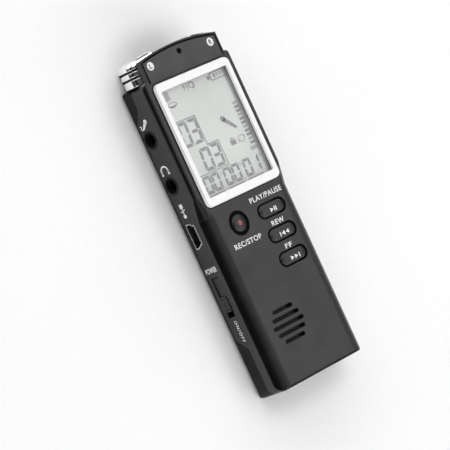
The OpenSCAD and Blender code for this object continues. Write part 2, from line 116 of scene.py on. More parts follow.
class Graph:
    """A material's node tree, with short names for the nodes that the finishes below use."""

    def __init__(self, name, colour, roughness, metallic=0.0, ior=1.5):
        self.material = bpy.data.materials.new(name)
        self.material.use_nodes = True
        self.tree = self.material.node_tree
        self.shader = self.tree.nodes["Principled BSDF"]
        self.shader.inputs["Base Color"].default_value = (*colour, 1)
        self.shader.inputs["Roughness"].default_value = roughness
        self.shader.inputs["Metallic"].default_value = metallic
        self.shader.inputs["IOR"].default_value = ior
        self.place = self.add("ShaderNodeTexCoord").outputs["Object"]

    def add(self, kind, **settings):
        node = self.tree.nodes.new(kind)
        for key, value in settings.items():
            setattr(node, key, value)
        return node

    def join(self, value, socket):
        """Links an output, or writes a plain number or colour, into a socket."""
        if isinstance(value, bpy.types.NodeSocket):
            self.tree.links.new(value, socket)
        else:
            socket.default_value = value

    def set(self, name, value):
        self.join(value, self.shader.inputs[name])

    def stretch(self, x, y, z):
        node = self.add("ShaderNodeMapping")
        self.join(self.place, node.inputs["Vector"])
        node.inputs["Scale"].default_value = (x, y, z)
        return node.outputs["Vector"]

    def noise(self, size_mm, detail=2.0, vector=None, rough=0.5):
        """Noise from 0 to 1 whose blotches are about size_mm across."""
        node = self.add("ShaderNodeTexNoise")
        self.join(vector or self.place, node.inputs["Vector"])
        node.inputs["Scale"].default_value = 1 / (size_mm * MM)
        node.inputs["Detail"].default_value = detail
        node.inputs["Roughness"].default_value = rough
        return node.outputs["Fac"]

    def cells(self, size_mm, feature="F1"):
        node = self.add("ShaderNodeTexVoronoi", feature=feature)
        self.join(self.place, node.inputs["Vector"])
        node.inputs["Scale"].default_value = 1 / (size_mm * MM)
        return node.outputs["Distance"]

    def wave(self, size_mm, axis):
        node = self.add("ShaderNodeTexWave", bands_direction=axis)
        self.join(self.place, node.inputs["Vector"])
        node.inputs["Scale"].default_value = 0.314 / (size_mm * MM)
        return node.outputs["Fac"]

    def math(self, operation, a, b=0.0, clamp=False):
        node = self.add("ShaderNodeMath", operation=operation, use_clamp=clamp)
        self.join(a, node.inputs[0])
        self.join(b, node.inputs[1])
        return node.outputs[0]

    def remap(self, value, from_low, from_high, to_low=0.0, to_high=1.0):
        node = self.add("ShaderNodeMapRange", interpolation_type="SMOOTHSTEP")
        self.join(value, node.inputs["Value"])
        for name, number in (("From Min", from_low), ("From Max", from_high),
                             ("To Min", to_low), ("To Max", to_high)):
            self.join(number, node.inputs[name])
        return node.outputs["Result"]

    def mix(self, share, a, b):
        """A colour between a and b."""
        node = self.add("ShaderNodeMix", data_type="RGBA")
        self.join(share, node.inputs["Factor"])
        for name, value in (("A", a), ("B", b)):
            socket = [s for s in node.inputs if s.name == name and s.type == "RGBA"][0]
            self.join(value if isinstance(value, bpy.types.NodeSocket) else (*value, 1), socket)
        return [s for s in node.outputs if s.type == "RGBA"][0]

    def axis(self, vector, name):
        node = self.add("ShaderNodeSeparateXYZ")
        self.join(vector, node.inputs[0])
        return node.outputs[name]

    def bump(self, height, depth_mm, normal=None, strength=1.0):
        node = self.add("ShaderNodeBump")
        self.join(height, node.inputs["Height"])
        node.inputs["Distance"].default_value = depth_mm * MM
        node.inputs["Strength"].default_value = strength
        if normal is not None:
            self.join(normal, node.inputs["Normal"])
        return node.outputs["Normal"]

    def rounded(self, radius_mm):
        """Normals that round every sharp edge off at this radius."""
        node = self.add("ShaderNodeBevel", samples=4)
        node.inputs["Radius"].default_value = radius_mm * MM
        return node.outputs["Normal"]

    def edge_wear(self, rounded):
        """1 on sharp edges, broken up by noise, and 0 on open surfaces."""
        flat = self.add("ShaderNodeNewGeometry").outputs["Normal"]
        dot = self.add("ShaderNodeVectorMath", operation="DOT_PRODUCT")
        self.join(rounded, dot.inputs[0])
        self.join(flat, dot.inputs[1])
        edge = self.remap(dot.outputs["Value"], 0.995, 0.9)
        return self.math("MULTIPLY", edge, self.remap(self.noise(0.7, 3), 0.42, 0.62))

    def varied(self, colour, amount, size_mm=6.0):
        """A colour that drifts a little in tone over size_mm, with fine mottling in it."""
        broad = self.noise(size_mm, 3)
        fine = self.noise(size_mm / 30, 2)
        both = self.math("ADD", self.math("MULTIPLY", broad, 0.6), self.math("MULTIPLY", fine, 0.4))
        darker = tuple(c * (1 - amount) for c in colour)
        lighter = tuple(min(1.0, c * (1 + amount)) for c in colour)
        return self.mix(self.remap(both, 0.3, 0.7), darker, lighter)


def shell_plastic(name, colour, roughness, dark, dark_roughness, grain_mm, grain_depth, edge=0.2,
                  seat_z=None, gloss=(0.2, 0.5), painted_shade_rims=False):
    """Moulded satin plastic: spark-eroded grain on the flats; where edges turn, glossier plastic whose
    darker colour is painted shade.
    """
    g = Graph(name, colour, roughness)
    soft = g.rounded(edge)
    # Painted shade: the dark colour below goes where this normal leans off the axes, so on the turning
    # edges, and with the rim option also beside every sharp rim.
    normal = soft if painted_shade_rims else g.add("ShaderNodeTexCoord").outputs["Normal"]
    flats = [g.math("ABSOLUTE", g.axis(normal, a)) for a in "XYZ"]
    flat = g.remap(g.math("MAXIMUM", g.math("MAXIMUM", flats[0], flats[1]), flats[2]), 0.72, 1.0)
    wear = g.edge_wear(g.rounded(0.1))
    # the dark colour mixed in here is painted shade on the turning edges
    body = g.mix(flat, dark, g.varied(colour, 0.22))
    worn = tuple(min(1.0, c * 2.2 + 0.012) for c in colour)
    g.set("Base Color", g.mix(g.math("MULTIPLY", wear, 0.55), body, worn))
    smudge = g.remap(g.noise(9, 4, rough=0.6), 0.35, 0.7, -0.035, 0.045)
    rough = g.math("ADD", g.remap(flat, 0.0, 1.0, dark_roughness, roughness), smudge)
    if seat_z is not None:
        # the walls of the recesses sunk in the face stay matt and unworn
        sunk = g.remap(g.axis(g.place, "Z"), (seat_z - 0.04) * MM, (seat_z - 0.12) * MM)
        inner = g.math("LESS_THAN", g.math("ABSOLUTE", g.axis(g.place, "X")), RECESSED_HALF_WIDTH * MM)
        hollow = g.math("MULTIPLY", sunk, inner)
        rough = g.math("ADD", rough, g.math("MULTIPLY", hollow, 0.5))
        wear = g.math("MULTIPLY", wear, g.math("SUBTRACT", 1.0, hollow))
    g.set("Roughness", g.math("SUBTRACT", rough, g.math("MULTIPLY", wear, 0.08), clamp=True))
    g.set("Specular IOR Level", g.remap(flat, 0.0, 1.0, *gloss))
    grain = g.math("ADD", g.noise(grain_mm, 2), g.math("MULTIPLY", g.cells(grain_mm * 1.7), 0.5))
    g.set("Normal", g.bump(g.math("MULTIPLY", grain, flat), grain_depth, soft))
    return g.material


def moulded(name, colour, roughness, grain_mm=0.12, depth=0.004, amount=0.15, edge=0.06, coat=0.0):
    """Plain moulded plastic, rubber or coated board with fine grain, drifting tone and rubbed edges."""
    g = Graph(name, colour, roughness)
    soft = g.rounded(edge)
    wear = g.edge_wear(soft)
    worn = tuple(min(1.0, c * 1.5 + 0.02) for c in colour)
    g.set("Base Color", g.mix(g.math("MULTIPLY", wear, 0.5), g.varied(colour, amount), worn))
    g.set("Roughness", g.remap(g.noise(4, 3), 0.3, 0.7, roughness - 0.05, roughness + 0.07))
    g.set("Normal", g.bump(g.noise(grain_mm, 3), depth, soft))
    g.set("Coat Weight", coat)
    g.set("Coat Roughness", 0.08)
    return g.material


def bright_metal(name, colour, roughness, brushed=0.0, axis="X", edge=0.08, tarnish=0.0):
    """Plated or brushed metal with hairline scratches, faint tarnish and softened edges."""
    g = Graph(name, colour, roughness, metallic=1.0)
    soft = g.rounded(edge)
    hair = g.noise(0.05, 2, g.stretch(*{"X": (0.03, 1, 1), "Y": (1, 0.03, 1), "Z": (1, 1, 0.03)}[axis]))
    cloud = g.noise(3, 4, rough=0.6)
    dull = tuple(c * (1 - tarnish) for c in colour)
    g.set("Base Color", g.mix(g.remap(cloud, 0.35, 0.75), colour, dull))
    rough = g.remap(cloud, 0.3, 0.7, roughness * 0.8, roughness * 1.3 + 0.01)
    g.set("Roughness", g.math("ADD", rough, g.math("MULTIPLY", hair, brushed * 0.2)))
    g.set("Normal", g.bump(hair, 0.0006 + 0.003 * brushed, soft, 0.6))
    return g.material


def ink(name, colour, roughness=0.55):
    """Screen-printed ink: slightly uneven coverage with a dry, pitted surface."""
    g = Graph(name, colour, roughness)
    pits = g.noise(0.09, 3, rough=0.6)
    thin = tuple(c * 0.72 for c in colour)
    g.set("Base Color", g.mix(g.remap(pits, 0.3, 0.55), thin, colour))
    g.set("Roughness", g.remap(g.noise(0.4, 2), 0.3, 0.7, roughness - 0.08, roughness + 0.1))
    g.set("Normal", g.bump(pits, 0.004))
    return g.material


def key_plastic(name, colour, roughness):
    """Silicone-feel key caps: fine satin grain, polished where fingers rub the crown."""
    g = Graph(name, colour, roughness)
    normal = g.add("ShaderNodeTexCoord").outputs["Normal"]
    crown = g.remap(g.axis(normal, "Z"), 0.93, 0.995)
    rubbed = g.math("MULTIPLY", crown, g.remap(g.noise(1.6, 4, rough=0.6), 0.35, 0.65))
    g.set("Base Color", g.mix(rubbed, g.varied(colour, 0.15, 2), tuple(c * 1.35 for c in colour)))
    g.set("Roughness", g.remap(rubbed, 0.0, 1.0, roughness + 0.04, roughness - 0.05))
    g.set("Normal", g.bump(g.noise(0.11, 3), 0.0035))
    return g.material


def display_glass():
    """Liquid crystal cell: pale grey-green polariser with its faint haze and drifting tone."""
    g = Graph("lcd_polariser", (0.66, 0.675, 0.66), 0.32)
    drift = g.noise(14, 2)
    fine = g.noise(0.1, 2)
    tone = g.math("ADD", g.math("MULTIPLY", drift, 0.75), g.math("MULTIPLY", fine, 0.25))
    g.set("Base Color", g.mix(g.remap(tone, 0.3, 0.7), (0.62, 0.622, 0.618), (0.69, 0.692, 0.688)))
    g.set("Roughness", g.remap(fine, 0.3, 0.7, 0.28, 0.36))
    g.set("Normal", g.bump(fine, 0.001))
    return g.material


def clear_window():
    """Thin clear cover: straight through except for its own reflection, with faint wiping marks."""
    g = Graph("clear_window", (0.95, 0.955, 0.96), 0.06, metallic=1.0)
    wiped = g.noise(2.5, 4, g.stretch(1, 0.25, 1), 0.6)
    g.set("Roughness", g.remap(wiped, 0.3, 0.7, 0.04, 0.09))
    through = g.add("ShaderNodeBsdfTransparent")
    through.inputs["Color"].default_value = (0.985, 0.99, 0.985, 1)
    fresnel = g.add("ShaderNodeFresnel")
    fresnel.inputs["IOR"].default_value = 1.4
    inside = g.add("ShaderNodeNewGeometry").outputs["Backfacing"]
    share = g.math("MULTIPLY", fresnel.outputs[0], g.math("SUBTRACT", 1.0, inside))
    blend = g.add("ShaderNodeMixShader")
    g.join(share, blend.inputs[0])
    g.tree.links.new(through.outputs[0], blend.inputs[1])
    g.tree.links.new(g.shader.outputs[0], blend.inputs[2])
    output = [n for n in g.tree.nodes if n.type == "OUTPUT_MATERIAL"][0]
    g.tree.links.new(blend.outputs[0], output.inputs["Surface"])
    return g.material


def painted_bezel():
    """Bright painted trim: tiny metallic flake under a clear coat, rubbed along its rims."""
    g = Graph("painted_bezel", (0.9, 0.9, 0.895), 0.3)
    soft = g.rounded(0.16)
    wear = g.edge_wear(soft)
    flake = g.cells(0.06)
    paint = g.mix(g.remap(flake, 0.1, 0.6), (0.93, 0.93, 0.925), (0.86, 0.86, 0.86))
    paint = g.mix(g.math("MULTIPLY", wear, 0.5), paint, (0.62, 0.62, 0.61))
    g.set("Base Color", paint)
    g.set("Roughness", g.remap(g.noise(5, 4, rough=0.6), 0.3, 0.7, 0.24, 0.36))
    g.set("Normal", g.bump(g.math("ADD", flake, g.noise(0.25, 2)), 0.0012, soft))
    g.set("Coat Weight", 0.35)
    g.set("Coat Roughness", 0.1)
    return g.material


def speaker_mesh():
    """Woven black dust cloth with over-and-under threads."""
    g = Graph("speaker_mesh", (0.012, 0.012, 0.013), 0.75)
    weave = g.math("MAXIMUM", g.wave(0.28, "X"), g.wave(0.28, "Y"))
    g.set("Base Color", g.mix(weave, (0.002, 0.002, 0.002), g.varied((0.02, 0.02, 0.021), 0.3, 2)))
    g.set("Roughness", g.remap(weave, 0.0, 1.0, 0.9, 0.6))
    g.set("Normal", g.bump(weave, 0.05))
    g.set("Sheen Weight", 0.3)
    return g.material


def circuit_board():
    """Green solder mask over copper tracks, with bare pads."""
    g = Graph("circuit_board", (0.02, 0.16, 0.07), 0.35)
    tracks = g.math("GREATER_THAN", g.math("MULTIPLY", g.wave(1.1, "X"), g.wave(1.7, "Y")), 0.55)
    pads = g.math("LESS_THAN", g.cells(1.9), 0.14)
    mask = g.mix(tracks, g.varied((0.012, 0.12, 0.05), 0.15), (0.03, 0.22, 0.09))
    g.set("Base Color", g.mix(pads, mask, (0.72, 0.62, 0.3)))
    g.set("Roughness", g.remap(g.noise(3, 3), 0.3, 0.7, 0.28, 0.42))
    g.set("Normal", g.bump(g.math("ADD", tracks, pads), 0.02, g.rounded(0.06)))
    return g.material


def battery_foil():
    """Crinkled pouch foil."""
    g = Graph("battery_foil", (0.62, 0.63, 0.65), 0.28, metallic=1.0)
    crease = g.noise(3.5, 5, rough=0.65)
    g.set("Base Color", g.varied((0.62, 0.63, 0.65), 0.08, 5))
    g.set("Roughness", g.remap(crease, 0.3, 0.7, 0.22, 0.4))
    g.set("Normal", g.bump(crease, 0.12, g.rounded(0.3)))
    return g.material


FINISH = {
    # The third colour of each shell is the painted shade on its turning edges.
    "case_front": shell_plastic("case_front", (0.016, 0.016, 0.0165), 0.37,
                                (0.003, 0.003, 0.0032), 0.27, 0.14, 0.0032, 0.2, FACE_Z),
    "case_rear": shell_plastic("case_rear", (0.004, 0.004, 0.0043), 0.55,
                               (0.003, 0.003, 0.0032), 0.4, 0.18, 0.006, gloss=(0.12, 0.24)),
    "head_plate": shell_plastic("head_plate", (0.038, 0.038, 0.0385), 0.4,
                                (0.003, 0.003, 0.003), 0.28, 0.12, 0.0028, 0.45, gloss=(0.1, 0.5),
                                painted_shade_rims=True),
    "bezel": painted_bezel(),
    "window": clear_window(),
    "lcd": display_glass(),
    "white_plastic": moulded("white_plastic", (0.8, 0.79, 0.74), 0.42),
    "board": circuit_board(),
    "chip": moulded("chip", (0.03, 0.03, 0.031), 0.5, 0.06, 0.003),
    "tin": bright_metal("tin", (0.66, 0.65, 0.62), 0.2, 0.5, "Y", 0.06, 0.2),
    "key": key_plastic("key_plastic", (0.01, 0.01, 0.0102), 0.36),
    "black_plastic": moulded("black_plastic", (0.01, 0.01, 0.0105), 0.32, 0.15, 0.003),
    "cone": moulded("speaker_film", (0.03, 0.03, 0.031), 0.3, 0.5, 0.01),
    "magnet": bright_metal("magnet", (0.5, 0.5, 0.52), 0.3, 0.6, "X", 0.1, 0.25),
    "foam": moulded("foam", (0.02, 0.02, 0.02), 0.9, 0.35, 0.08),
    "cloth": speaker_mesh(),
    "foil": battery_foil(),
    "foam_pad": moulded("foam_pad", (0.75, 0.74, 0.7), 0.85, 0.4, 0.08),
    "lead": moulded("lead", (0.42, 0.02, 0.02), 0.45, 0.2, 0.003),
    "chrome": bright_metal("chrome", (0.9, 0.905, 0.915), 0.05, 0.0, "Y", 0.4, 0.05),
    "capsule": bright_metal("capsule", (0.45, 0.45, 0.46), 0.3, 0.8, "Y", 0.1, 0.2),
    "rubber": moulded("rubber", (0.009, 0.009, 0.009), 0.7, 0.2, 0.008),
    "smoke": moulded("smoke", (0.001, 0.001, 0.0011), 0.6, 0.3, 0.001),
    "screw": bright_metal("screw", (0.2, 0.2, 0.21), 0.35, 0.5, "X", 0.08, 0.3),
    "ceramic": moulded("ceramic", (0.36, 0.3, 0.22), 0.5, 0.1, 0.004),
}
PRINT = ink("white_print", (0.86, 0.86, 0.85))
DARK_PRINT = ink("dark_print", (0.05, 0.05, 0.052))
LCD_INK = ink("lcd_segment", (0.3, 0.302, 0.3), 0.4)
LCD_FAINT = ink("lcd_faint", (0.43, 0.435, 0.43), 0.4)
LCD_SHADE = ink("lcd_segment_shadow", (0.56, 0.57, 0.56), 0.4)
# A near-black matt sheet for gaps and hollows that lie in shade: painted shade.
PAINTED_SHADE_BLACK = moulded("recess_painted_shade", (0.002, 0.002, 0.002), 0.8, 0.2, 0.006)
for dim in (PAINTED_SHADE_BLACK, FINISH["smoke"]):
    dim.node_tree.nodes["Principled BSDF"].inputs["Specular IOR Level"].default_value = 0.1
RED_DOT = moulded("red_inlay", (0.3, 0.075, 0.09), 0.34, 0.15, 0.002)
CONTACT = bright_metal("contact", (0.75, 0.62, 0.36), 0.18, 0.3, "X", 0.05, 0.2)

SLOT_OF = {part["node"]: part["material_slot"] for part in frame["record"]["subparts"]}
for node_name, node_object in frame["nodes"].items():
    finish = FINISH[SLOT_OF[node_name]]
    for material_slot in node_object.material_slots:
        material_slot.material = finish

# ---------------------------------------------------------------- mesh helpers


def piece(name, bm, material, body, smooth_angle=None):
    """Turns a bmesh in millimetres into a piece that rides on a body."""
    bmesh.ops.scale(bm, vec=(MM, MM, MM), verts=bm.verts)
    bmesh.ops.recalc_face_normals(bm, faces=bm.faces)
    mesh = bpy.data.meshes.new(name)
    bm.to_mesh(mesh)
    bm.free()
    mesh.materials.append(material)
    thing = bpy.data.objects.new(name, mesh)
    bpy.context.scene.collection.objects.link(thing)
    if smooth_angle is not None:
        for polygon in mesh.polygons:
            polygon.use_smooth = True
        mesh.set_sharp_from_angle(angle=math.radians(smooth_angle))
    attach(thing, body)
    return thing


def flat_front(z):
    """Places sheet coordinates (u, v, w) on a plane facing up at height z."""
    return lambda u, v, w: (u, v, z + w)


def flat_side(x):
    """Places (u, v, w) on the left side: u runs along Z, v along Y and w outwards."""
    return lambda u, v, w: (x - w, v, u)


def slab(bm, outline, place, bottom, top):
    """A thin closed plate with this outline between two levels of a plane."""
    lower = [bm.verts.new(place(u, v, bottom)) for u, v in outline]
    upper = [bm.verts.new(place(u, v, top)) for u, v in outline]
    bm.faces.new(lower[::-1])
    bm.faces.new(upper)
    for i in range(len(outline)):
        j = (i + 1) % len(outline)
        bm.faces.new((lower[i], lower[j], upper[j], upper[i]))


def box_outline(u0, v0, u1, v1, lean=0.0):
    return [(u0 + lean * v0, v0), (u1 + lean * v0, v0), (u1 + lean * v1, v1), (u0 + lean * v1, v1)]


def arc(cu, cv, r, start, end, count=12):
    steps = [math.radians(start + (end - start) * i / count) for i in range(count + 1)]
    return [(cu + r * math.cos(a), cv + r * math.sin(a)) for a in steps]


def ribbon(points, width):
    """The outline of a line of this width through the points."""
    left, right = [], []
    for i, (u, v) in enumerate(points):
        before, after = points[max(i - 1, 0)], points[min(i + 1, len(points) - 1)]
        du, dv = after[0] - before[0], after[1] - before[1]
        length = math.hypot(du, dv)
        nu, nv = -dv / length * width / 2, du / length * width / 2
        left.append((u + nu, v + nv))
        right.append((u - nu, v - nv))
    return left + right[::-1]


def plates(name, outlines, place, bottom, top, material, body):
    bm = bmesh.new()
    for outline in outlines:
        slab(bm, outline, place, bottom, top)
    return piece(name, bm, material, body)


def lettering(name, text, u0, v0, u1, v1, place, material, thick=0.03, turned=False, weight=0.022,
              spacing=1.08):
    """A printed word that fills a rectangle; turned makes it read down the rectangle."""
    curve = bpy.data.curves.new(name + "_outline", "FONT")
    curve.body = text
    curve.size = 1.0
    curve.offset = weight
    curve.resolution_u = 4
    curve.space_character = spacing
    holder = bpy.data.objects.new(name + "_outline", curve)
    bpy.context.scene.collection.objects.link(holder)
    bpy.context.view_layer.update()
    flat = bpy.data.meshes.new_from_object(holder.evaluated_get(bpy.context.evaluated_depsgraph_get()))
    bpy.data.objects.remove(holder)
    bm = bmesh.new()
    bm.from_mesh(flat)
    bpy.data.meshes.remove(flat)
    bmesh.ops.remove_doubles(bm, verts=bm.verts, dist=1e-5)
    left = min(v.co.x for v in bm.verts)
    right = max(v.co.x for v in bm.verts)
    bottom = min(v.co.y for v in bm.verts)
    top = max(v.co.y for v in bm.verts)
    extruded = bmesh.ops.extrude_face_region(bm, geom=list(bm.faces))
    raised = {e for e in extruded["geom"] if isinstance(e, bmesh.types.BMVert)}
    for vert in bm.verts:
        across = (vert.co.x - left) / (right - left)
        along = (vert.co.y - bottom) / (top - bottom)
        if turned:
            u, v = u0 + (u1 - u0) * along, v1 + (v0 - v1) * across
        else:
            u, v = u0 + (u1 - u0) * across, v0 + (v1 - v0) * along
        vert.co = Vector(place(u, v, thick if vert in raised else -0.02))
    return piece(name, bm, material, "case")


def skin(bm, loops):
    """Joins each closed loop of points to the next one with a band of faces."""
    for one, two in zip(loops, loops[1:]):
        for i in range(len(one)):
            j = (i + 1) % len(one)
            bm.faces.new((one[i], one[j], two[j], two[i]))


def rings(bm, outline_at, levels):
    """A closed solid through a stack of outlines: each level is (inset, z), from the bottom up."""
    stack = [[bm.verts.new((u, v, z)) for u, v in outline_at(inset)] for inset, z in levels]
    skin(bm, stack)
    bm.faces.new(stack[-1])
    bm.faces.new(stack[0][::-1])


def stadium(cx, cy, half, radius, count=14):
    """Outline of a long key, inset by its argument."""
    def at(inset):
        r = max(radius - inset, 0.02)
        return arc(cx + half, cy, r, -90, 90, count) + arc(cx - half, cy, r, 90, 270, count)
    return at


def circle(cx, cy, radius, count=48):
    """Outline of a round key, inset by its argument."""
    def at(inset):
        r = max(radius - inset, 0.02)
        return arc(cx, cy, r, 0, 360 - 360 / count, count - 1)
    return at


def rounded_rectangle(at, size, out, radius=1.8):
    """Outline at a distance out from a rectangle with rounded corners."""
    corners = []
    for su, sv, start in ((1, 1, 0), (-1, 1, 90), (-1, -1, 180), (1, -1, 270)):
        cu, cv = at.x + su * (size.x - radius), at.y + sv * (size.y - radius)
        corners += arc(cu, cv, radius + out, start, start + 90, 8)
    return corners


# ---------------------------------------------------------------- keys
EDGE_ROUND = 0.85
EDGE_DROP = 0.5
CROWN = 0.13
FLANGE = 0.7
REC_RADIUS = 2.5
LONG_KEY_RADIUS = 1.68
# The CAD's long keys have ends of this radius
CAD_KEY_RADIUS = 1.8


def cap_levels(radius, node, crown=CROWN, edge=EDGE_ROUND):
    """Profile of a key cap: hidden flange, straight wall, rounded rim and a crowned top."""
    bottom = low(node).z
    rim = CAP_TOP - EDGE_DROP - 0.12
    levels = [(-FLANGE, bottom), (-FLANGE, bottom + 0.4), (-0.02, bottom + 0.4), (0, bottom + 0.45),
              (0, rim)]
    for i in range(1, 8):
        a = math.radians(84 * i / 8)
        levels.append((edge * (1 - math.cos(a)), rim + EDGE_DROP * math.sin(a)))
    start = levels[-1]
    for i in range(1, 9):
        share = i / 8
        inset = start[0] + (radius - start[0]) * share
        levels.append((inset, start[1] + crown * (1 - (1 - share) ** 2)))
    return levels


def make_keys():
    """The crowned caps that stand in for the CAD's flat ones, and the record key's inlaid dot."""
    bm = bmesh.new()
    levels = cap_levels(REC_RADIUS, "rec_button", 0.24, 0.5)
    rings(bm, circle(REC.x, REC.y, REC_RADIUS), levels)
    cap = piece("record_key_cap", bm, FINISH["key"], "record_key", 40)
    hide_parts("rec_button")
    top = levels[-1][1]
    bm = bmesh.new()
    dot = [(0, top - 0.1), (0, top - 0.01), (0.05, top + 0.015), (0.3, top + 0.03), (0.7, top + 0.035)]
    rings(bm, circle(REC.x, REC.y, 0.75, 32), dot)
    piece("record_key_dot", bm, RED_DOT, "record_key", 50)
    for name, at in KEYS.items():
        node = name + "_button"
        half = (high(node).x - low(node).x) / 2 - FLANGE - CAD_KEY_RADIUS
        bm = bmesh.new()
        rings(bm, stadium(at.x, at.y, half, LONG_KEY_RADIUS), cap_levels(LONG_KEY_RADIUS, node))
        cap = piece(name + "_key_cap", bm, FINISH["key"], name + "_key", 40)
        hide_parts(node)


make_keys()


def make_recess_shades():
    """The floor of the hollow that each key stands in, drawn black as painted shade."""
    floor = CAP_TOP - 0.75
    outlines = {"record": (circle(REC.x, REC.y, 3.58), circle(REC.x, REC.y, 2.62))}
    for name, at in KEYS.items():
        outlines[name] = (stadium(at.x, at.y, 3.33, 2.24), stadium(at.x, at.y, 3.25, 1.92))
    for name, (outer, inner) in outlines.items():
        bm = bmesh.new()
        skin(bm, [[bm.verts.new((u, v, z)) for u, v in outline(0)]
                  for outline, z in ((outer, floor + 0.25), (outer, floor + 0.03), (inner, floor + 0.02),
                                     (inner, floor - 0.5))])
        piece(name + "_recess_painted_shade", bm, PAINTED_SHADE_BLACK, "case", 40)


make_recess_shades()


def make_bezel_seam():
    """The thin gap round the display bezel, drawn black as painted shade."""
    at, size = middle("display_bezel"), (high("display_bezel") - low("display_bezel")) / 2
    bm = bmesh.new()
    skin(bm, [[bm.verts.new((u, v, FACE_Z + h)) for u, v in rounded_rectangle(at, size, out)]
              for out, h in ((0.0, 0.15), (0.04, 0.03), (0.24, 0.015), (0.28, -0.1))])
    piece("bezel_seam_shade", bm, PAINTED_SHADE_BLACK, "case", 40)


make_bezel_seam()

# ---------------------------------------------------------------- printing on the keys and the face


def triangle(u, v, size, way):
    """A play arrow: its blunt side at u, pointing way (1 or -1)."""
    return [(u, v - size / 2), (u + way * size * 0.95, v), (u, v + size / 2)]


def make_icons():
    """The printed signs on the three long keys, each a little right of and below its key's middle."""
    icon = 1.3
    bar = 0.36
    for name, at in KEYS.items():
        u, v = at.x + 0.35, at.y - 0.38
        h = icon / 2
        shapes = {
            "play": [triangle(u - 1.35, v, icon, 1), box_outline(u + 0.1, v - h, u + 0.1 + bar, v + h),
                     box_outline(u + 0.75, v - h, u + 0.75 + bar, v + h)],
            "rewind": [box_outline(u - 1.8, v - h, u - 1.8 + bar, v + h), triangle(u + 0.15, v, icon, -1),
                       triangle(u + 1.75, v, icon, -1)],
            "forward": [box_outline(u + 1.5, v - h, u + 1.5 + bar, v + h), triangle(u - 1.75, v, icon, 1),
                        triangle(u - 0.15, v, icon, 1)],
        }[name]
        top = cap_levels(CAD_KEY_RADIUS, name + "_button")[-1][1]
        plates(name + "_key_icon", shapes, flat_front(top), -0.09, 0.02, PRINT, name + "_key")


make_icons()

ON_FACE = flat_front(FACE_Z)
ON_SIDE = flat_side(SIDE_X)
# Each word with the left, bottom, right and top of its rectangle
LEGENDS = [
    ("record_legend", "REC/STOP", -11.5, -9.65, -0.8, -8.15),
    ("play_legend", "PLAY/PAUSE", 0.5, 0.05, 13.4, 1.6),
    ("rewind_legend", "REW", 4.55, -8.1, 9.5, -6.65),
    ("forward_legend", "FF", 5.65, -15.35, 8.35, -13.95),
]
for legend in LEGENDS:
    lettering(*legend, ON_FACE, PRINT)
lettering("power_legend", "POWER", 2.35, -12.6, 7.05, -11.05, ON_SIDE, PRINT)
lettering("on_off_legend", "ON/OFF", 4.5, -33.3, 5.65, -27.0, ON_SIDE, PRINT, turned=True,
          weight=0.012, spacing=1.3)


def make_side_symbols():
    """A hand microphone, headphones and a plain plug beside the three sockets."""
    mic_body = [(4.85, 32.6), (5.75, 32.0), (4.0, 30.65), (3.5, 31.0)]
    head = arc(5.55, 32.6, 0.66, 0, 345, 23)
    cable_run = [(3.75, 30.85), (3.2, 30.65), (2.85, 31.0), (3.2, 31.45), (3.05, 31.9), (2.65, 31.75)]
    cable = ribbon(cable_run, 0.3)
    plates("mic_symbol", [mic_body, head, cable], ON_SIDE, -0.02, 0.03, PRINT, "case")
    u, v = JACK_Z, 18.0
    band = ribbon(arc(u, v, 1.42, -20, 200, 22), 0.46)
    pads = [box_outline(u + s * 1.36 - 0.34, v - 1.1, u + s * 1.36 + 0.34, v + 0.1) for s in (-1, 1)]
    plates("headphone_symbol", [band, *pads], ON_SIDE, -0.02, 0.03, PRINT, "case")
    stem = box_outline(4.22, 4.9, 4.58, 7.0)
    shell = box_outline(3.75, 6.9, 5.05, 8.1)
    foot = arc(4.4, 4.55, 0.6, 0, 345, 23)
    arms = [ribbon([(4.4, 5.6), (3.5, 6.15)], 0.26), ribbon([(4.4, 5.9), (5.3, 6.4)], 0.26)]
    plates("data_symbol", [stem, shell, foot, *arms], ON_SIDE, -0.02, 0.03, PRINT, "case")


make_side_symbols()


def make_channel_marks():
    """Two white discs with a dark letter on the head plate."""
    y = 45.72
    for name, letter, x in (("left_channel_mark", "L", -11.9), ("right_channel_mark", "R", 11.9)):
        bm = bmesh.new()
        profile = [(0, PLATE_Z - 0.05), (0, PLATE_Z + 0.01), (0.04, PLATE_Z + 0.035), (0.3, PLATE_Z + 0.04)]
        rings(bm, circle(x, y, 1.22, 40), profile)
        piece(name, bm, PRINT, "case", 40)
        lettering(name + "_letter", letter, x - 0.5, y - 0.7, x + 0.5, y + 0.7,
                  flat_front(PLATE_Z + 0.04), DARK_PRINT, 0.02)


make_channel_marks()


def make_head_rim_shade():
    """A black band along the rounded rim at the ends of the head plate: painted shade."""
    width = 0.5
    radius = 70.0
    end_x = high("head_plate").x - width / 2
    end_y = low("head_plate").y + 0.4
    reach = math.degrees(math.asin(end_x / radius))
    top = arc(0, high("head_plate").y - radius, radius - width / 2, 90 - reach, 90 + reach, 40)
    rim = ribbon([(end_x, end_y), *top, (-end_x, end_y)], width)
    plates("head_plate_rim_shade", [rim], flat_front(PLATE_Z), -0.05, 0.012, PAINTED_SHADE_BLACK, "case")


make_head_rim_shade()

# ---------------------------------------------------------------- display contents
SEGMENTS = {"0": "abcdef", "1": "bc", "3": "abcdg"}
PAIR_LEFTS = (-11.8, -3.8, 4.2)
LEAN_OF_DIGITS = 0.06


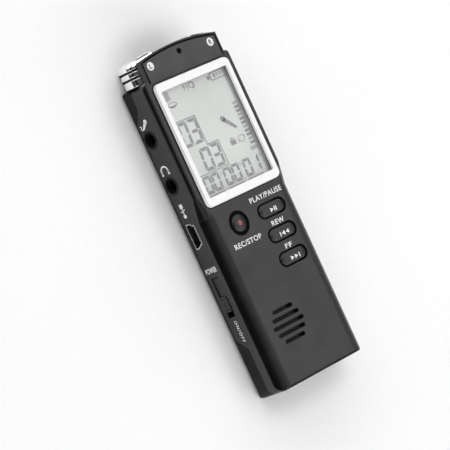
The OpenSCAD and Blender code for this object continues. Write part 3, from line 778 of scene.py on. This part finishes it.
def digit(character, u, v, width, height, bar):
    """Seven-segment strokes of one digit, mitred at its corners, whose lower left corner is (u, v)."""
    gap = bar * 0.2
    half = height / 2

    def across(points):
        return [(width - p, q) for p, q in points]

    def over(points):
        return [(p, height - q) for p, q in points]

    foot = [(gap, 0), (width - gap, 0), (width - bar - gap, bar), (bar + gap, bar)]
    side = [(0, gap), (bar, bar + gap), (bar, half - bar / 2 - gap), (bar / 2, half - gap), (0, half - gap)]
    waist = [(bar * 0.7, half), (bar + gap, half - bar / 2), (width - bar - gap, half - bar / 2),
             (width - bar * 0.7, half), (width - bar - gap, half + bar / 2), (bar + gap, half + bar / 2)]
    strokes = {"a": over(foot), "b": over(across(side)), "c": across(side), "d": foot, "e": side,
               "f": over(side), "g": waist}
    return [[(u + p + LEAN_OF_DIGITS * q, v + q) for p, q in strokes[key]] for key in SEGMENTS[character]]


def number_strokes():
    """The two numbers in the stepped box and the counter's three pairs of digits below it."""
    strokes = []
    for v, height, lefts in ((21.2, 7.2, (-12.4, -8.5)), (13.1, 6.6, (-8.6, -4.6))):
        for character, u in zip("03", lefts):
            strokes += digit(character, u, v, 3.75, height, 0.9)
    for left, pair in zip(PAIR_LEFTS, ("00", "00", "01")):
        for i, character in enumerate(pair):
            strokes += digit(character, left + 3.35 * i, 7.2, 3.05, 5.0, 0.78)
    return strokes


def stepped_box():
    """The line that steps round the two numbers."""
    corners = [(-12.6, 28.8), (-4.3, 28.8), (-4.3, 20.0), (-0.1, 20.0), (-0.1, 12.65), (-12.6, 12.65)]
    r = 0.11
    return [box_outline(min(u0, u1) - r, min(v0, v1) - r, max(u0, u1) + r, max(v0, v1) + r)
            for (u0, v0), (u1, v1) in zip(corners, corners[1:])]


def counter_marks():
    """A rule under each pair of digits, and a faint stroke after each of the first two pairs."""
    rules = [box_outline(u, 6.42, u + 6.3, 6.62) for u in PAIR_LEFTS]
    strokes = [box_outline(u + 6.95, 10.7, u + 7.25, 11.9, 0.03) for u in PAIR_LEFTS[:2]]
    return rules, strokes


def battery_sign():
    """A long box with a nub at its left, one dark bar and three faint ones."""
    low_v, high_v, line = 35.55, 37.9, 0.25
    rails = [box_outline(7.0, high_v - line, 12.9, high_v), box_outline(7.0, low_v, 12.9, low_v + line),
             box_outline(6.95, low_v, 7.2, high_v)]
    nub = box_outline(5.6, 36.15, 6.9, 37.25)
    bars = [box_outline(u, 36.2, u + 0.7, 37.3) for u in (9.4, 10.6, 11.8)]
    return [*rails, nub, box_outline(8.2, 36.2, 8.9, 37.3)], bars


def corner_signs():
    """A folder tab at the upper left with a pair of lips below it."""
    tab = [(-12.7, 34.9), (-9.7, 35.1), (-9.7, 37.3), (-10.3, 37.8), (-12.7, 37.7)]
    lip_u, lip_r = -9.9, 2.6
    lower = ribbon(arc(lip_u, 35.6, lip_r, 226, 314, 12), 0.34)
    upper = ribbon(arc(lip_u, 31.8, lip_r, 46, 134, 12), 0.3)
    return [tab, lower, upper, arc(lip_u, 35.4, 2.4, 235, 305, 10)]


def recording_signs():
    """A hand microphone and a lock, and two faint arrows that chase each other."""
    handle = [(4.4, 24.0), (5.4, 25.0), (8.5, 21.4), (7.9, 20.8)]
    head = arc(4.65, 24.75, 0.86, 0, 345, 23)
    lock = box_outline(3.75, 16.95, 5.75, 18.25)
    shackle = ribbon(arc(4.75, 18.25, 0.65, 0, 180, 10), 0.24)
    sweeps = [ribbon(arc(8.25, v, 1.35, start, start + 130, 12), 0.26)
              for v, start in ((17.3, 35), (18.2, 215))]
    heads = [[(9.1, 18.6), (9.9, 18.3), (9.3, 17.6)], [(7.4, 16.9), (6.6, 17.2), (7.2, 17.9)]]
    return [handle, head, lock, shackle], sweeps + heads


def level_marks():
    """Eleven bars of the recording level, each third one faint, and the faint marks under them."""
    bars = [box_outline(10.5, 27.2 - 1.2 * i, 12.3, 27.95 - 1.2 * i) for i in range(11)]
    feet = [box_outline(9.8, 13.4, 12.4, 14.6), box_outline(10.6, 10.7, 11.0, 12.0),
            box_outline(11.6, 10.7, 12.0, 12.0)]
    return [bar for i, bar in enumerate(bars) if i % 3], bars[::3] + feet


def make_display():
    """What the display shows, each dark stroke with its painted shadow, and a painted shadow strip along its
    right edge.
    """
    on_lcd = flat_front(LCD_Z + 0.012)
    dark, faint = number_strokes() + stepped_box(), corner_signs()
    for signs in (counter_marks, battery_sign, recording_signs, level_marks):
        more_dark, more_faint = signs()
        dark += more_dark
        faint += more_faint
    # painted shadow of each stroke, offset down and to the right
    shade = [[(u + 0.22, v - 0.16) for u, v in outline] for outline in dark]
    # Painted shadow of the bezel's right wall: a darker strip in two tones along the display's right edge.
    shadow_strip_low, shadow_strip_high = low("lcd_glass").y + 0.2, high("lcd_glass").y - 0.2
    shade.append(box_outline(11.95, shadow_strip_low, 12.5, shadow_strip_high))
    faint.append(box_outline(12.45, shadow_strip_low, 13.2, shadow_strip_high))
    plates("display_segment_shadows", shade, flat_front(LCD_Z), 0.0, 0.008, LCD_SHADE, "case")
    plates("display_segments", dark, on_lcd, 0.0, 0.02, LCD_INK, "case")
    plates("display_faint_segments", faint, on_lcd, 0.0, 0.02, LCD_FAINT, "case")
    lettering("display_quality_mark", "HQ", -3.7, 35.6, 0.5, 37.75, on_lcd, LCD_FAINT, 0.02)


make_display()

# ---------------------------------------------------------------- small fittings


def torus(bm, centre, axis_turn, ring, tube, count=40, sides=10):
    """A closed ring of round section about the centre."""
    loops = []
    for i in range(count):
        a = 2 * math.pi * i / count
        loop = []
        for j in range(sides):
            b = 2 * math.pi * j / sides
            point = Vector(((ring + tube * math.cos(b)) * math.cos(a),
                            (ring + tube * math.cos(b)) * math.sin(a), tube * math.sin(b)))
            loop.append(bm.verts.new(Vector(centre) + axis_turn @ point))
        loops.append(loop)
    for i in range(count):
        for j in range(sides):
            k, m = (i + 1) % count, (j + 1) % sides
            bm.faces.new((loops[i][j], loops[k][j], loops[k][m], loops[i][m]))


FACING_SIDE = Matrix.Rotation(math.radians(90), 3, "Y")


def make_slider_mark():
    """The small ring moulded in the slider's grip, drawn black as painted shade."""
    bm = bmesh.new()
    torus(bm, (low("power_slider").x + 0.08, -21.97, middle("power_slider").z), FACING_SIDE, 0.62, 0.12)
    piece("slider_mark", bm, PAINTED_SHADE_BLACK, "power_slide", 60)


make_slider_mark()


def make_jack_details():
    """The raised lip, the gaps drawn black as painted shadow, and the two springs of each jack."""
    count = 56
    for name, node in (("mic_jack_contact", "mic_jack"), ("headphone_jack_contact", "headphone_jack")):
        y = middle(node).y
        bm = bmesh.new()
        torus(bm, (SIDE_X - 0.02, y, JACK_Z), FACING_SIDE, 2.32, 0.15, count)
        piece(node + "_lip", bm, FINISH["case_front"], "case", 60)
        bm = bmesh.new()
        for inner, outer, out in ((1.78, 2.24, 0.02), (2.4, 2.66, 0.015)):
            levels = ((inner, -0.3), (inner, out - 0.01), ((inner + outer) / 2, out), (outer, out - 0.01))
            skin(bm, [[bm.verts.new((SIDE_X - h, v, u)) for v, u in circle(y, JACK_Z, r, count)(0)]
                      for r, h in levels])
        piece(node + "_shadow_gap", bm, PAINTED_SHADE_BLACK, "case", 50)
        bm = bmesh.new()
        for s in (-1, 1):
            spring = ribbon([(-16.2, s * 1.72), (-14.6, s * 1.45), (-13.2, s * 1.2), (-12.0, s * 1.5)], 0.12)
            slab(bm, spring, lambda u, v, w: (u, y + v, JACK_Z + w), -0.45, 0.45)
        piece(name, bm, CONTACT, "case")


make_jack_details()


def make_usb_contacts():
    """Five flat contacts on the tongue in the USB socket."""
    z, pitch, half_width = 4.62, 0.8, 0.16
    bm = bmesh.new()
    for i in range(5):
        v = middle("usb_socket").y + (i - 2) * pitch
        slab(bm, box_outline(-16.0, v - half_width, -10.8, v + half_width), flat_front(z), -0.09, 0.03)
    piece("usb_contacts", bm, CONTACT, "case")


make_usb_contacts()

# ---------------------------------------------------------------- floor and light
DOME = 2.65
BACKDROP = 0.93


def make_floor():
    """A wide pale floor just under the recorder."""
    g = Graph("studio_floor", (0.93, 0.93, 0.93), 0.85)
    g.set("Base Color", g.varied((0.93, 0.93, 0.93), 0.012, 60))
    g.set("Specular IOR Level", 0.1)
    bm = bmesh.new()
    size = 3000.0
    signs = ((-1, -1), (1, -1), (1, 1), (-1, 1))
    corners = [bm.verts.new((sx * size, sy * size, -0.02)) for sx, sy in signs]
    bm.faces.new(corners)
    bmesh.ops.scale(bm, vec=(MM, MM, MM), verts=bm.verts)
    mesh = bpy.data.meshes.new("floor")
    bm.to_mesh(mesh)
    bm.free()
    mesh.materials.append(g.material)
    floor = bpy.data.objects.new("floor", mesh)
    bpy.context.scene.collection.objects.link(floor)


def make_world():
    """Pale light from both ends of the recorder, each end split by a dark strip, and dark in between."""
    world = bpy.data.worlds.new("studio")
    world.use_nodes = True
    tree = world.node_tree
    background = tree.nodes["Background"]

    def add(kind, **settings):
        node = tree.nodes.new(kind)
        for key, value in settings.items():
            setattr(node, key, value)
        return node

    def smooth(value, start, end, out_start, out_end):
        node = add("ShaderNodeMapRange", interpolation_type="SMOOTHSTEP")
        tree.links.new(value, node.inputs["Value"])
        for name, number in (("From Min", start), ("From Max", end),
                             ("To Min", out_start), ("To Max", out_end)):
            node.inputs[name].default_value = number
        return node.outputs["Result"]

    def along(direction):
        node = add("ShaderNodeVectorMath", operation="DOT_PRODUCT")
        tree.links.new(way, node.inputs[0])
        node.inputs[1].default_value = direction
        return node.outputs["Value"]

    def times(a, b):
        node = add("ShaderNodeMath", operation="MULTIPLY")
        tree.links.new(a, node.inputs[0])
        tree.links.new(b, node.inputs[1])
        return node.outputs[0]

    way = add("ShaderNodeTexCoord").outputs["Generated"]
    across = add("ShaderNodeMath", operation="ABSOLUTE")
    tree.links.new(along((0, 1, 0)), across.inputs[0])
    ends = smooth(across.outputs[0], 0.22, 0.62, 0.03, 1.0)
    horizon = smooth(along((0, 0, 1)), 0.0, 0.25, 0.1, 1.0)
    gap = smooth(along((0, 0, 1)), 0.46, 0.53, 1.0, 0.1)
    upper = smooth(along((0, 0, 1)), 0.66, 0.73, 0.0, 1.0)
    strips = add("ShaderNodeMath", operation="MAXIMUM")
    tree.links.new(gap, strips.inputs[0])
    tree.links.new(upper, strips.inputs[1])
    level = times(times(ends, horizon), strips.outputs[0])
    strength = add("ShaderNodeMath", operation="MULTIPLY")
    tree.links.new(level, strength.inputs[0])
    strength.inputs[1].default_value = DOME
    seen = add("ShaderNodeLightPath").outputs["Is Camera Ray"]
    backdrop = add("ShaderNodeMix", data_type="FLOAT")
    tree.links.new(seen, backdrop.inputs[0])
    tree.links.new(strength.outputs[0], backdrop.inputs[2])
    backdrop.inputs[3].default_value = BACKDROP
    background.inputs["Color"].default_value = (1, 1, 1, 1)
    tree.links.new(backdrop.outputs[0], background.inputs["Strength"])
    bpy.context.scene.world = world


def softbox(name, direction, far, width, height, radiance):
    """A square studio light that looks at the recorder from a direction."""
    data = bpy.data.lights.new(name, "AREA")
    data.shape = "RECTANGLE"
    data.size = width
    data.size_y = height
    data.energy = radiance * math.pi * width * height
    light = bpy.data.objects.new(name, data)
    light.location = Vector(direction).normalized() * far
    light.rotation_euler = Vector(direction).to_track_quat("Z", "Y").to_euler()
    bpy.context.scene.collection.objects.link(light)


make_floor()
make_world()
softbox("key_light", direction=(0.588, -0.02, 0.809), far=1.6, width=1.3, height=0.8, radiance=1.6)
bpy.context.scene.view_settings.view_transform = "Standard"
